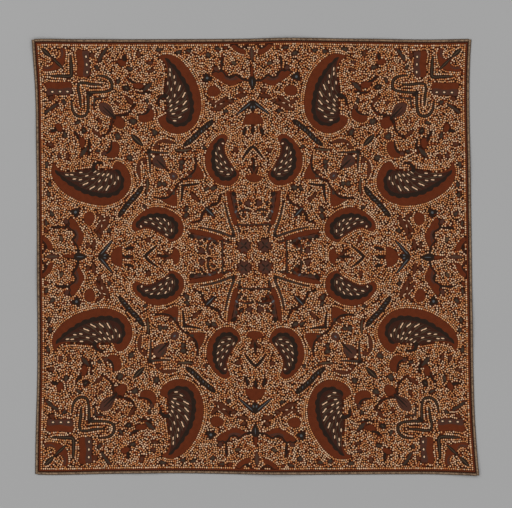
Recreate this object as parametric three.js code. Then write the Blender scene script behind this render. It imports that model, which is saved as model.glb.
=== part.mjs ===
// A square cotton headcloth, laid out flat: one thin sheet with a narrow rolled hem along each of its
// four sides. Hand hemming has drawn the sides in and let two corners flare, and the edge lifts off
// the surface in a few low ripples.
//
// Millimetres. +Z is up, +Y points to the top edge and +X to the right edge. The origin is on the
// underside, in the middle of the cloth.

import * as THREE from 'three';

// Driving dimensions
const CLOTH_WIDTH = 1050;      // left edge to right edge, across the middle
const CLOTH_LENGTH = 1052;     // bottom edge to top edge, across the middle
const CLOTH_THICKNESS = 1.0;
const HEM_WIDTH = 6.5;         // how far the rolled hem reaches in from the edge
const HEM_HEIGHT = 2.0;
const HEM_SHOULDER = 0.8;      // radius of the roll's inner and outer shoulder
const HEM_CLEARANCE = 0.3;     // between a hem and the sheet, and where two hems meet
const HEM_END_STEP = 2.0;      // the side hems stop this far short of the top and bottom edges
const RIPPLE_HEIGHT = 4.0;     // the tallest ripple
const RIPPLE_REACH = 130;      // how far the longest ripple runs in from the edge

// How finely the sheet and the hems follow their curves
const SHEET_STEPS = 31;        // across and along the sheet
const HEM_STEPS = 34;          // along each hem
const SHOULDER_STEPS = 2;      // around each shoulder of a hem

// How far each edge stands out from the straight square. along runs from -1 to 1, left to right or
// bottom to top. out is a share of the cloth's width for the left and right edges, and of its length
// for the top and bottom edges.
const EDGES = {
  left: [
    { along: -1.00, out: 0.0040 },
    { along: -0.83, out: 0.0030 },
    { along: -0.50, out: -0.0010 },
    { along: 0.00, out: 0.0000 },
    { along: 0.49, out: 0.0014 },
    { along: 0.74, out: 0.0035 },
    { along: 0.90, out: 0.0082 },
    { along: 1.00, out: 0.0116 },
  ],
  right: [
    { along: -1.00, out: 0.0172 },
    { along: -0.91, out: 0.0131 },
    { along: -0.67, out: 0.0058 },
    { along: -0.25, out: 0.0016 },
    { along: 0.00, out: 0.0000 },
    { along: 0.41, out: -0.0031 },
    { along: 0.74, out: -0.0058 },
    { along: 0.90, out: -0.0041 },
    { along: 1.00, out: -0.0010 },
  ],
  top: [
    { along: -1.00, out: -0.0019 },
    { along: -0.91, out: -0.0003 },
    { along: -0.75, out: -0.0015 },
    { along: -0.30, out: -0.0012 },
    { along: 0.00, out: 0.0000 },
    { along: 0.18, out: 0.0020 },
    { along: 0.50, out: 0.0000 },
    { along: 0.80, out: -0.0021 },
    { along: 1.00, out: -0.0004 },
  ],
  bottom: [
    { along: -1.00, out: 0.0000 },
    { along: -0.91, out: 0.0010 },
    { along: -0.60, out: -0.0019 },
    { along: -0.33, out: -0.0028 },
    { along: 0.00, out: 0.0000 },
    { along: 0.25, out: 0.0004 },
    { along: 0.74, out: -0.0006 },
    { along: 0.91, out: 0.0018 },
    { along: 1.00, out: 0.0040 },
  ],
};

// Where an edge lifts off the surface. along is the crest's place on its side, span is half the
// ripple's length as a share of half the side, lift is a share of RIPPLE_HEIGHT and reach is a share
// of RIPPLE_REACH.
const RIPPLES = [
  { side: 'top', along: -0.72, span: 0.17, lift: 0.60, reach: 0.80 },
  { side: 'top', along: 0.17, span: 0.20, lift: 0.85, reach: 1.00 },
  { side: 'top', along: 0.58, span: 0.15, lift: 0.45, reach: 0.70 },
  { side: 'right', along: -0.30, span: 0.19, lift: 0.65, reach: 0.90 },
  { side: 'right', along: 0.42, span: 0.17, lift: 0.50, reach: 0.75 },
  { side: 'bottom', along: -0.52, span: 0.16, lift: 0.50, reach: 0.70 },
  { side: 'bottom', along: 0.08, span: 0.20, lift: 0.75, reach: 0.95 },
  { side: 'left', along: -0.10, span: 0.19, lift: 0.60, reach: 0.85 },
  { side: 'left', along: 0.55, span: 0.15, lift: 0.45, reach: 0.70 },
  { side: 'left', along: 1.00, span: 0.16, lift: 1.00, reach: 0.80 },
  { side: 'right', along: -1.00, span: 0.18, lift: 0.90, reach: 0.85 },
];

// The four sides: which way each one faces, its length, and how it is measured along
const SIDES = {
  left: { outward: new THREE.Vector3(-1, 0, 0), half: CLOTH_WIDTH / 2, along: (s, t) => t },
  right: { outward: new THREE.Vector3(1, 0, 0), half: CLOTH_WIDTH / 2, along: (s, t) => t },
  top: { outward: new THREE.Vector3(0, 1, 0), half: CLOTH_LENGTH / 2, along: (s, t) => s },
  bottom: { outward: new THREE.Vector3(0, -1, 0), half: CLOTH_LENGTH / 2, along: (s, t) => s },
};

const smooth = (share) => share * share * (3 - 2 * share);

/** The slope of an edge's table at one of its rows. */
function edgeSlope(rows, index) {
  const before = rows[Math.max(0, index - 1)];
  const after = rows[Math.min(rows.length - 1, index + 1)];
  return (after.out - before.out) / (after.along - before.along);
}

/** An edge's place out from the straight square, as a share: a smooth curve through its table. */
function edgeOut(side, along) {
  const rows = EDGES[side];
  const place = THREE.MathUtils.clamp(along, rows[0].along, rows[rows.length - 1].along);
  const next = Math.max(1, rows.findIndex((row) => row.along >= place));
  const [from, to] = [rows[next - 1], rows[next]];
  const length = to.along - from.along;
  const share = (place - from.along) / length;
  const rest = 1 - share;
  return from.out * smooth(rest) + to.out * smooth(share)
    + edgeSlope(rows, next - 1) * length * share * rest * rest
    - edgeSlope(rows, next) * length * share * share * rest;
}

/** How high the cloth lifts off the surface at s across and t along, both from -1 to 1. */
function lift(s, t) {
  let height = 0;
  for (const ripple of RIPPLES) {
    const { outward, half, along } = SIDES[ripple.side];
    const offCrest = Math.abs(along(s, t) - ripple.along) / ripple.span;
    const inward = half * (1 - (s * outward.x + t * outward.y));
    const fade = 1 - Math.max(0, inward) / (ripple.reach * RIPPLE_REACH);
    if (offCrest < 1 && fade > 0) {
      height += ripple.lift * RIPPLE_HEIGHT * smooth(1 - offCrest) * smooth(Math.min(1, fade));
    }
  }
  return height;
}

/** Moves a solid modelled on the straight, flat square to where the real cloth lies. */
function layOut(geometry) {
  const points = geometry.getAttribute('position');
  for (let i = 0; i < points.count; i += 1) {
    const s = points.getX(i) / (CLOTH_WIDTH / 2);
    const t = points.getY(i) / (CLOTH_LENGTH / 2);
    const right = edgeOut('right', t) * CLOTH_WIDTH * (1 + s) / 2;
    const left = edgeOut('left', t) * CLOTH_WIDTH * (1 - s) / 2;
    const top = edgeOut('top', s) * CLOTH_LENGTH * (1 + t) / 2;
    const bottom = edgeOut('bottom', s) * CLOTH_LENGTH * (1 - t) / 2;
    points.setXYZ(
      i,
      points.getX(i) + right - left,
      points.getY(i) + top - bottom,
      points.getZ(i) + lift(s, t),
    );
  }
  geometry.computeVertexNormals();
  return geometry;
}

/** The sheet inside the hems. */
function sheet() {
  const inset = 2 * (HEM_WIDTH + HEM_CLEARANCE);
  const geometry = new THREE.BoxGeometry(
    CLOTH_WIDTH - inset, CLOTH_LENGTH - inset, CLOTH_THICKNESS, SHEET_STEPS, SHEET_STEPS, 1,
  );
  geometry.translate(0, 0, CLOTH_THICKNESS / 2);
  return layOut(geometry);
}

/** A rolled hem's section: x is outward with the cloth's edge at 0, y is up. */
function hemSection() {
  const section = new THREE.Shape();
  const top = HEM_HEIGHT - HEM_SHOULDER;
  section.moveTo(-HEM_WIDTH, 0);
  section.lineTo(-HEM_SHOULDER / 2, 0);
  section.quadraticCurveTo(0, 0, 0, HEM_SHOULDER / 2);
  section.lineTo(0, top);
  section.absarc(-HEM_SHOULDER, top, HEM_SHOULDER, 0, Math.PI / 2, false);
  section.lineTo(-HEM_WIDTH + HEM_SHOULDER, HEM_HEIGHT);
  section.absarc(-HEM_WIDTH + HEM_SHOULDER, top, HEM_SHOULDER, Math.PI / 2, Math.PI, false);
  section.closePath();
  return section;
}

/** A rolled hem along one side, length long, with its outer face on that side's edge. */
function hem(side, length) {
  const { outward, half } = SIDES[side];
  const up = new THREE.Vector3(0, 0, 1);
  const along = outward.clone().cross(up);
  const geometry = new THREE.ExtrudeGeometry(hemSection(), {
    depth: length, steps: HEM_STEPS, curveSegments: SHOULDER_STEPS, bevelEnabled: false,
  });
  const start = outward.clone().multiplyScalar(half).addScaledVector(along, -length / 2);
  geometry.applyMatrix4(new THREE.Matrix4().makeBasis(outward, up, along).setPosition(start));
  return layOut(geometry);
}

const dyedCotton = new THREE.MeshStandardMaterial({ color: 0x6a452f, roughness: 0.85, metalness: 0 });
const hemCotton = new THREE.MeshStandardMaterial({ color: 0x9c7c60, roughness: 0.85, metalness: 0 });

function piece(name, geometry, material) {
  const mesh = new THREE.Mesh(geometry, material);
  mesh.name = name;
  return mesh;
}

// The side hems run nearly the whole length, and the top and bottom hems butt between them.
const sideHemLength = CLOTH_LENGTH - 2 * HEM_END_STEP;
const crossHemLength = CLOTH_WIDTH - 2 * (HEM_WIDTH + HEM_CLEARANCE);

const headcloth = new THREE.Group();
headcloth.add(
  piece('cloth', sheet(), dyedCotton),
  piece('hem_top', hem('top', crossHemLength), hemCotton),
  piece('hem_bottom', hem('bottom', crossHemLength), hemCotton),
  piece('hem_left', hem('left', sideHemLength), hemCotton),
  piece('hem_right', hem('right', sideHemLength), hemCotton),
);

export default headcloth;
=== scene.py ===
"""A square batik headcloth, laid out flat: dyed and dotted cotton, four rolled hems and their stitches.

The dyed pattern is charted for one eighth of the cloth, and mirrored into the other seven. The wax
dots of the ground are then laid in rows along the motifs, and fill what is left.
"""

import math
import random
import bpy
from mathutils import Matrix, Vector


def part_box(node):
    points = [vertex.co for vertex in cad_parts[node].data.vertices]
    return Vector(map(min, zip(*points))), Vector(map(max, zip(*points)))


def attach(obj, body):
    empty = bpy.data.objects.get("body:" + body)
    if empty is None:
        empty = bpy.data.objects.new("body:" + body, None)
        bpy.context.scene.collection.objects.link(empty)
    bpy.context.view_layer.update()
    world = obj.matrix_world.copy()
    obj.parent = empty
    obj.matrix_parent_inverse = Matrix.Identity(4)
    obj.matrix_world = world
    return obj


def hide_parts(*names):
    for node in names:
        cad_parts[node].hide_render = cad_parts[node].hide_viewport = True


bl_info = {
    "name": "Batik Headcloth",
    "version": (1, 0, 0),
    "blender": (4, 5, 0),
    "location": "3D View > Sidebar > Headcloth",
    "description": "Makes a dyed square headcloth with rolled hems, laid out flat on a pale floor",
    "category": "Object",
}

from collections import namedtuple

import bpy
import numpy as np
from bpy.props import FloatProperty, FloatVectorProperty, PointerProperty
from mathutils import Vector, noise
from mathutils.bvhtree import BVHTree
from mathutils.geometry import delaunay_2d_cdt

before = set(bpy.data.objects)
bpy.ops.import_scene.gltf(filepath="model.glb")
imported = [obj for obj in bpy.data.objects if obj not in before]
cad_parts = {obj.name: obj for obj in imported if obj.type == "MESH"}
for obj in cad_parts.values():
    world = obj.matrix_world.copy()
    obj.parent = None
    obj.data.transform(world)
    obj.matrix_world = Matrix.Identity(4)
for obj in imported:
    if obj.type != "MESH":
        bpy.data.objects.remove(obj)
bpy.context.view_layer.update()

# The chart runs from -CHART to CHART squares across the cloth and along it, hems and all.
CHART = 100
SQUARE = (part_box("hem_right")[1].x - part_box("hem_left")[0].x) / (2 * CHART)
OUTLINE_STEP = 1.2  # squares between points on a curved outline
CELLS = 8  # cells to a chart square, in the grid that keeps the dots clear of the motifs
FAR = 6.0  # squares, beyond which the grid doesn't measure
NO_DOT = -9  # squares, the radius of a dot that isn't drawn
SEED = 11


def linear(red, green, blue):
    """A colour given as it looks on a screen, from 0 to 255, in the numbers that Blender mixes."""
    shares = (red / 255, green / 255, blue / 255)
    return tuple(c / 12.92 if c <= 0.04045 else ((c + 0.055) / 1.055) ** 2.4 for c in shares)


# Settings


def length(name, description, default):
    """A size in metres, for a property group."""
    return FloatProperty(
        name=name, description=description, default=default, min=0, unit="LENGTH", precision=5
    )


def colour(name, description, red, green, blue):
    """A colour, for a property group."""
    default = linear(red, green, blue)
    return FloatVectorProperty(
        name=name, description=description, default=default, size=3, min=0, max=1, subtype="COLOR"
    )


class HeadclothSizes(bpy.types.PropertyGroup):
    """The sizes that a maker would change. The cloth's own size and outline come from its solids."""

    dot_pitch: length("Dot pitch", "From one wax dot to the next", 0.00515)
    dot_width: length("Dot width", "Across a wax dot", 0.0036)
    wander: length("Wander", "How far the hand drawing strays from the chart", 0.0022)
    wrinkle: length("Wrinkle height", "How far the cloth rises in its slight wrinkles", 0.0005)
    thread: length("Thread pitch", "From one thread of the weave to the next", 0.0005)
    stitch_pitch: length("Stitch pitch", "From one hem stitch to the next", 0.0052)
    stitch_length: length("Stitch length", "How far a stitch reaches from the cloth over its hem", 0.0034)
    stitch_thread: length("Sewing thread", "Across the thread of the hem stitches", 0.0005)
    end_step: length("Hem end step", "How far the side hems stop short of the top and bottom edges", 0.002)
    view_width: length("View width", "How much of the floor the camera takes in", 1.2352)
    lens: FloatProperty(
        name="Lens", description="The camera's focal length", default=85.0, min=1, unit="CAMERA"
    )


class HeadclothColours(bpy.types.PropertyGroup):
    """The dyes of the cloth, the painted shade of its hems, and what it lies on."""

    ground: colour("Ground", "Between the dots", 98, 40, 15)
    shade: colour("Ground shade", "The darker patches between the dots", 50, 22, 9)
    cream: colour("Cream", "Cotton under the wax dots", 255, 211, 170)
    straw: colour("Straw", "The yellower of the dots", 232, 158, 98)
    peach: colour("Peach", "The redder of the dots", 190, 95, 48)
    rust: colour("Rust", "Haloes, bars and wings", 106, 47, 22)
    umber: colour("Umber", "Brown leaves and petals", 92, 48, 29)
    plum: colour("Plum", "Purple-brown flowers", 86, 52, 40)
    bark: colour("Bark", "The leaves' bodies, between their ribs", 66, 35, 24)
    night: colour("Night", "The darkest, blue-brown dye", 46, 33, 25)
    smoke: colour("Smoke", "The strips of the star", 66, 52, 42)
    ash: colour("Ash", "Grey-brown ribs, flowers and centre lines", 84, 67, 50)
    slate: colour("Slate", "Blue-grey streaks", 96, 98, 100)
    # Border also gives the painted shade in the hem's crease beside the cloth.
    border: colour("Border", "The dark line beside the hem", 56, 27, 15)
    tan: colour("Hem", "The rolled hem's top", 172, 142, 112)
    # Painted shade on the rolled hem's outer side. It also gives the darker blotches on the hem's top.
    hem_edge: colour("Hem edge", "The rolled hem's outer side", 84, 68, 56)
    sewing: colour("Sewing thread", "The hem stitches", 140, 108, 80)
    floor: colour("Floor", "What the cloth lies on", 190, 190, 190)


# Shader maths


class Value:
    """A number that varies over a surface. Sums and products of values add Math nodes to the material."""

    def __init__(self, shader, socket):
        self.shader = shader
        self.socket = socket

    def math(self, operation, *values):
        return self.shader.node("ShaderNodeMath", {"operation": operation}, dict(enumerate(values)))

    def __add__(self, other):
        return self.math("ADD", self, other)

    __radd__ = __add__

    def __sub__(self, other):
        return self.math("SUBTRACT", self, other)

    def __rsub__(self, other):
        return self.math("SUBTRACT", other, self)

    def __mul__(self, other):
        return self.math("MULTIPLY", self, other)

    __rmul__ = __mul__

    def between(self, low, high):
        """0 at low or less, 1 at high or more, and smooth between them."""
        settings = {"interpolation_type": "SMOOTHSTEP"}
        inputs = {"Value": self, "From Min": low, "From Max": high}
        return self.shader.node("ShaderNodeMapRange", settings, inputs)


class Shader:
    """One material and its nodes."""

    def __init__(self, name):
        self.material = bpy.data.materials.new(name)
        self.material.use_nodes = True
        self.tree = self.material.node_tree
        self.surface = self.tree.nodes["Principled BSDF"]

    def node(self, kind, settings=None, inputs=None, output=0):
        """Adds a node with these settings, then its sockets' values or links, and gives one output back."""
        added = self.tree.nodes.new(kind)
        for name, setting in (settings or {}).items():
            setattr(added, name, setting)
        for socket, value in (inputs or {}).items():
            self.feed(added.inputs[socket], value)
        return Value(self, added.outputs[output])

    def feed(self, socket, value):
        """Links a value to a socket, or sets the socket to a plain number or colour."""
        if isinstance(value, Value):
            self.tree.links.new(value.socket, socket)
        elif socket.type == "RGBA":
            socket.default_value = (*value, 1)
        else:
            socket.default_value = value

    def attribute(self, name, output="Vector"):
        return self.node("ShaderNodeAttribute", {"attribute_name": name}, output=output)

    def mix(self, share, first, second):
        """first where share is 0 and second where it is 1."""
        return self.node("ShaderNodeMix", {"data_type": "RGBA"}, {0: share, 6: first, 7: second}, 2)

    def brighten(self, tint, by):
        """A colour times a number that may vary."""
        return self.node("ShaderNodeVectorMath", {"operation": "SCALE"}, {0: tint, "Scale": by})

    def vector(self, operation, *values, output=0):
        return self.node("ShaderNodeVectorMath", {"operation": operation}, dict(enumerate(values)), output)

    def noise(self, place, scale, detail=2.0, output="Fac"):
        inputs = {"Vector": place, "Scale": scale, "Detail": detail}
        return self.node("ShaderNodeTexNoise", {"noise_dimensions": "3D"}, inputs, output)

    def wave(self, place, direction, period):
        """Threads side by side, a period apart along one direction of a place."""
        settings = {"wave_type": "BANDS", "bands_direction": direction}
        scale = math.tau / (20 * period)
        return self.node("ShaderNodeTexWave", settings, {"Vector": place, "Scale": scale}, "Fac")

    def finish(self, tint, roughness, height, strength):
        """Feeds the surface: its colour, its roughness and a bump of a varying height in metres."""
        bump = self.node("ShaderNodeBump", inputs={"Strength": strength, "Distance": 1, "Height": height})
        for socket, value in {
            "Base Color": tint,
            "Roughness": roughness,
            "Normal": bump,
            "Specular IOR Level": 0.1,
            "Sheen Weight": 0.03,
            "Sheen Roughness": 0.5,
        }.items():
            self.feed(self.surface.inputs[socket], value)
        return self.material


THREAD_HEIGHT = 0.4  # of a thread's pitch


def weave(shader, place, pitch):
    """A plain weave with threads a pitch apart both ways, from 0 in its gaps to 1 on a thick thread."""
    across = shader.wave(place, "X", 2 * pitch)
    along = shader.wave(place, "Y", 2 * pitch)
    crossing = across * along + (1 - across) * (1 - along)
    slubs = shader.noise(place, 0.12 / pitch, 3.0)
    return 0.75 * crossing + 0.25 * slubs


def dyed_cotton(sizes, colours):
    """Cotton whose dye is in the mesh, with wax dots drawn round the places that each face holds."""
    shader = Shader("dyed_cotton")
    chart = shader.attribute("chart")
    soft = 0.16  # squares, over which a dot's edge fades
    drift = shader.vector("SUBTRACT", shader.noise(chart, 0.75, 1.0, "Color"), (0.5, 0.5, 0.5))
    place = shader.vector("MULTIPLY_ADD", drift, (0.5, 0.5, 0.0), chart)
    depth = shader.noise(chart, 0.55, 2.0).between(0.36, 0.58)
    ground = shader.mix(depth, colours.ground, colours.shade)
    dye = shader.attribute("dye", "Color")
    is_ground = shader.attribute("dotted", "Fac")
    mottled = shader.brighten(dye, 0.72 + 0.56 * shader.noise(chart, 0.5, 4.0))
    tint = shader.mix(is_ground, mottled, ground)
    for corner in "abc":
        dot = shader.attribute("dot_" + corner)
        middle = shader.vector("MULTIPLY", dot, (1.0, 1.0, 0.0))
        radius = shader.node("ShaderNodeSeparateXYZ", inputs={0: dot}, output=2)
        away = shader.vector("DISTANCE", place, middle, output="Value")
        mask = (radius - away).between(-soft / 2, soft / 2)
        toss = shader.node("ShaderNodeTexWhiteNoise", {"noise_dimensions": "3D"}, {"Vector": middle})
        pale = shader.mix(toss.between(0.0, 0.7), colours.cream, colours.straw)
        dyed = shader.mix(toss.between(0.7, 1.15), pale, colours.peach)
        tint = shader.mix(mask, tint, dyed)
    age = 0.90 + 0.2 * shader.noise(chart, 0.06, 3.0)
    fibre = 0.94 + 0.12 * shader.noise(chart, 9.0, 2.0)
    threads = weave(shader, chart, sizes.thread / SQUARE)
    # Age and fibre vary the tone. The weave term is painted shade, darker in the gaps between threads.
    tint = shader.brighten(tint, age * fibre * (0.91 + 0.18 * threads))
    rough = 0.78 + 0.12 * shader.noise(chart, 2.0, 2.0)
    return shader.finish(tint, rough, threads * (THREAD_HEIGHT * sizes.thread), 0.8)


def hem_cotton(sizes, colours):
    """The rolled hem: the cloth's paler back, painted shade on its outer side and in the crease by the cloth.
    """
    shader = Shader("hem_cotton")
    roll = shader.attribute("roll")
    inward = shader.node("ShaderNodeSeparateXYZ", inputs={0: roll}, output=1)
    place = shader.attribute("chart")
    blotch = shader.noise(place, 0.9, 4.0)
    # Painted shade: the roll's outer side takes the darker hem edge colour.
    side = (inward + 0.22 * blotch).between(0.36, 0.52)
    # Painted shade in the crease where the hem meets the cloth.
    crease_shade = inward.between(0.84, 0.98)
    top = shader.mix(blotch.between(0.3, 0.75), colours.tan, colours.hem_edge)
    tint = shader.mix(side, colours.hem_edge, top)
    tint = shader.mix(crease_shade, tint, colours.border)
    threads = weave(shader, place, sizes.thread / SQUARE)
    # The noise varies the tone. The weave term is painted shade, darker in the gaps between threads.
    tint = shader.brighten(tint, (0.8 + 0.4 * shader.noise(place, 3.0, 3.0)) * (0.88 + 0.24 * threads))
    rough = 0.8 + 0.1 * blotch
    return shader.finish(tint, rough, threads * (THREAD_HEIGHT * sizes.thread), 0.8)


def sewing_thread(colours):
    """Twisted cotton thread."""
    shader = Shader("sewing_thread")
    place = shader.attribute("chart")
    worn = shader.noise(place, 5.0, 2.0)
    tint = shader.brighten(colours.sewing, 0.7 + 0.6 * worn)
    twist = shader.wave(place, "DIAGONAL", 0.08)
    return shader.finish(tint, 0.75 + 0.1 * worn, twist * 0.00004, 0.5)


# Where the cloth lies


SIDES = {"left": (0, -1), "right": (0, 1), "bottom": (1, -1), "top": (1, 1)}
STATION_GAP = 0.005  # a hem's solid has its stations further apart than this


def solid_points(node):
    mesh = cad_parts[node].data
    points = np.empty(len(mesh.vertices) * 3)
    mesh.vertices.foreach_get("co", points)
    return points.reshape(-1, 3)


def edge_rows(side):
    """How far out one edge of the cloth is, at each station along its hem's solid."""
    axis, way = SIDES[side]
    points = solid_points("hem_" + side)
    along = points[:, 1 - axis]
    order = np.argsort(along)
    breaks = np.flatnonzero(np.diff(along[order]) > STATION_GAP) + 1
    stations = np.split(order, breaks)
    return (
        np.array([along[station].mean() for station in stations]),
        np.array([way * (way * points[station, axis]).max() for station in stations]),
    )


def solid_tree(node):
    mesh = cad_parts[node].data
    return BVHTree.FromPolygons(
        [vertex.co for vertex in mesh.vertices], [tuple(face.vertices) for face in mesh.polygons]
    )


def first_hit(tree, start, way):
    """Where a line from a point first meets a solid."""
    hit = tree.ray_cast(Vector(start), Vector(way))[0]
    if hit is None:
        raise RuntimeError("No solid where the cloth should lie")
    return hit


class Lay:
    """Where the cloth lies, read from its solids. It turns places on the chart into places in metres."""

    STEPS = 128  # the height of the lying cloth is read this many times across and along it
    PASSES = 5  # of smoothing each way, so that the solids' facets don't show
    MARGIN = 0.2  # squares, how far inside the sheet's edge the last reading is
    EDGE_HEIGHT = 0.0005  # metres off the floor, where the sheet's edge is read

    def __init__(self):
        self.edges = {side: edge_rows(side) for side in SIDES}
        self.half_width = self.edges["right"][1].mean()
        self.half_length = self.edges["top"][1].mean()
        sheet = solid_tree("cloth")
        self.thickness = first_hit(sheet, (0, 0, 1), (0, 0, -1)).z
        sheet_edge = first_hit(sheet, (1, 0, self.EDGE_HEIGHT), (-1, 0, 0)).x
        hem_edge = np.interp(0, *self.edges["right"])
        self.inset = (hem_edge - sheet_edge) / SQUARE
        self.reach = 1 - (self.inset + self.MARGIN) / CHART
        self.rises = self.read_rises(sheet)

    def flat(self, u, v):
        """Places on the chart as metres across and along, between the cloth's four edges."""
        right_share, top_share = (1 + u / CHART) / 2, (1 + v / CHART) / 2
        across, along = u / CHART * self.half_width, v / CHART * self.half_length
        edge = {side: np.interp(along if side in ("left", "right") else across, *rows)
                for side, rows in self.edges.items()}
        x = edge["left"] * (1 - right_share) + edge["right"] * right_share
        y = edge["bottom"] * (1 - top_share) + edge["top"] * top_share
        return x, y

    def read_rises(self, sheet):
        """How far the cloth is off the floor, on an even grid over the chart."""
        shares = np.linspace(-self.reach, self.reach, self.STEPS + 1) * CHART
        u, v = np.meshgrid(shares, shares, indexing="ij")
        x, y = self.flat(u, v)
        rises = np.zeros_like(x)
        for place in np.ndindex(x.shape):
            hit = sheet.ray_cast(Vector((x[place], y[place], 1)), Vector((0, 0, -1)))[0]
            rises[place] = hit.z - self.thickness if hit else 0
        for _ in range(2 * self.PASSES):
            padded = np.pad(rises, ((1, 1), (0, 0)), mode="edge")
            rises = ((padded[:-2] + 2 * padded[1:-1] + padded[2:]) / 4).T
        return rises

    def rise(self, u, v):
        """How far the cloth is off the floor at places on the chart."""
        span = self.reach * CHART
        s = np.clip((u / span + 1) / 2, 0, 1) * self.STEPS
        t = np.clip((v / span + 1) / 2, 0, 1) * self.STEPS
        i, j = np.minimum(s.astype(int), self.STEPS - 1), np.minimum(t.astype(int), self.STEPS - 1)
        a, b = s - i, t - j
        low = self.rises[i, j] * (1 - a) + self.rises[i + 1, j] * a
        high = self.rises[i, j + 1] * (1 - a) + self.rises[i + 1, j + 1] * a
        return low * (1 - b) + high * b

    def place(self, u, v, height):
        """Places on the chart, each a height above the floor side of the cloth, as points in metres."""
        x, y = self.flat(u, v)
        return np.stack([x, y, self.rise(u, v) + height], axis=-1)


# The chart


Shape = namedtuple("Shape", "outline dye copies rows within")


def curve(points, closed=False, step=OUTLINE_STEP):
    """Points along a smooth line through chart points. One given with a third number is a sharp corner."""
    places = np.array([point[:2] for point in points], float)
    corner = [len(point) > 2 for point in points]
    count = len(places)
    spans = [(i, (i + 1) % count) for i in range(count if closed else count - 1)]
    ways = [places[b] - places[a] for a, b in spans]
    gaps = [max(np.hypot(*way), 1e-9) for way in ways]

    def slope(at, span):
        """The line's direction where a span starts or ends at a point."""
        before = span if spans[span][1] == at else (span - 1) % len(spans)
        after = span if spans[span][0] == at else (span + 1) % len(spans)
        loose = not closed and at in (0, count - 1)
        if corner[at] or loose:
            return ways[span] / gaps[span]
        return (ways[before] / gaps[before] + ways[after] / gaps[after]) / 2

    line = []
    for number, (a, b) in enumerate(spans):
        pieces = max(1, round(gaps[number] / step))
        leave, arrive = slope(a, number) * gaps[number], slope(b, number) * gaps[number]
        for k in range(pieces):
            t = k / pieces
            line.append(
                places[a] * (2 * t**3 - 3 * t**2 + 1)
                + leave * (t**3 - 2 * t**2 + t)
                + places[b] * (3 * t**2 - 2 * t**3)
                + arrive * (t**3 - t**2)
            )
    if not closed:
        line.append(places[-1])
    return np.array(line)


def run_along(line):
    """How far along a line each of its points is, in the line's own unit."""
    return np.concatenate([[0], np.cumsum(np.hypot(*np.diff(line, axis=0).T))])


BLUNT = 0.05  # squares, half the width above which a drawn line's end gets a point of its own
LONGEST_MITRE = 1.5  # times a line's half width, at its sharpest bends


def ribbon(points, widths, step=OUTLINE_STEP):
    """The outline of a line drawn through chart points. Its widths are spread evenly along it."""
    line = curve(points, step=step)
    run = run_along(line)
    half = np.interp(run / run[-1], np.linspace(0, 1, len(widths)), widths) / 2
    way = np.diff(line, axis=0)
    way /= np.hypot(*way.T)[:, None]
    before, after = np.vstack([way[:1], way]), np.vstack([way, way[-1:]])
    mean = before + after
    mean /= np.hypot(*mean.T)[:, None]
    mitre = np.minimum(1 / np.maximum((mean * after).sum(1), 0.1), LONGEST_MITRE)
    side = np.stack([-mean[:, 1], mean[:, 0]], 1) * (half * mitre)[:, None]
    left, right = list(line + side), list((line - side)[::-1])
    start, end = [], []
    if half[0] > BLUNT:
        start = [line[0] - way[0] * half[0]]
    else:
        left[0] = line[0]
        right.pop()
    if half[-1] > BLUNT:
        end = [line[-1] + way[-1] * half[-1]]
    else:
        left.pop()
    return np.array(start + left + end + right)


def oval(centre, size, turn=0.0, points=8, petals=0, depth=0.0):
    """An oval's outline, its long side turned in degrees, or a flower's with so many petals."""
    angles = np.arange(points) * math.tau / points
    out = 1 + depth * np.cos(petals * angles)
    long, wide = size
    x, y = long / 2 * np.cos(angles) * out, wide / 2 * np.sin(angles) * out
    c, s = math.cos(math.radians(turn)), math.sin(math.radians(turn))
    return np.stack([centre[0] + x * c - y * s, centre[1] + x * s + y * c], 1)


def both_halves(half, copies):
    """A shape drawn on one side of its mirror line, with its mirror image joined on."""
    if copies == "eight":
        return half
    diagonal = copies == "diagonal"
    image = [(p[1], p[0], *p[2:]) if diagonal else (-p[0], *p[1:]) for p in reversed(half)]
    on_line = [(p[0] == p[1]) if diagonal else p[0] == 0 for p in reversed(half)]
    return list(half) + [p for p, shared in zip(image, on_line) if not shared]


class Chart:
    """The motifs of one eighth of the pattern, in chart squares from the middle of the cloth.

    u runs towards one side and v towards the next, with v at least u. copies says how a motif repeats: eight
    times, or as a half on the diagonal or on the middle line that is first mirrored there. The last motif
    drawn lies on top, and rows is how many rows of dots follow its outline.
    """

    CORE = 0.24  # of a drawn line's width, how wide the thinner line along its middle is
    HEART = 0.36  # of a flower's width, how wide its heart is
    PETAL = 0.3  # of a flower's half width, how deep its petals are
    SMALL = 2  # squares, the length below which a spot has 6 points and not 8

    def __init__(self):
        self.shapes = []

    def add(self, outline, dye, copies="eight", rows=0, within=None):
        """Adds an outline, and says which number it has, for shapes that stay within it."""
        self.shapes.append(Shape(np.asarray(outline, float), dye, copies, rows, within))
        return len(self.shapes) - 1

    def patch(self, dye, points, copies="eight", rows=0, within=None):
        return self.add(curve(both_halves(points, copies), closed=True), dye, copies, rows, within)

    def line(self, dye, points, widths, copies="eight", rows=0, core=None):
        """A drawn line, and with core a thinner one of that dye along its middle."""
        full = both_halves(points, copies)
        number = self.add(ribbon(full, widths), dye, copies, rows)
        if core:
            self.add(ribbon(full, [self.CORE * width for width in widths]), core, copies, 0, number)
        return number

    def spot(self, dye, centre, size, turn=0.0, copies="eight", within=None):
        points = 6 if size[0] < self.SMALL else 8
        return self.add(oval(centre, size, turn, points), dye, copies, within=within)

    def flower(self, dye, centre, width, heart=None, petals=4, turn=0.0, copies="eight"):
        self.add(oval(centre, (width, width), turn, 4 * petals, petals, self.PETAL), dye, copies)
        if heart:
            self.spot(heart, centre, (self.HEART * width, self.HEART * width), copies=copies)


def beside(line, away):
    """A line's points moved to its right by a distance, or by one for each point."""
    way = np.gradient(line, axis=0)
    way /= np.hypot(*way.T)[:, None]
    return line + np.stack([way[:, 1], -way[:, 0]], 1) * np.reshape(away, (-1, 1))


def loop_area(outline):
    """The area inside an outline, below 0 if it runs clockwise."""
    following = np.roll(outline, -1, axis=0)
    return np.sum(outline[:, 0] * following[:, 1] - following[:, 0] * outline[:, 1]) / 2


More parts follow.
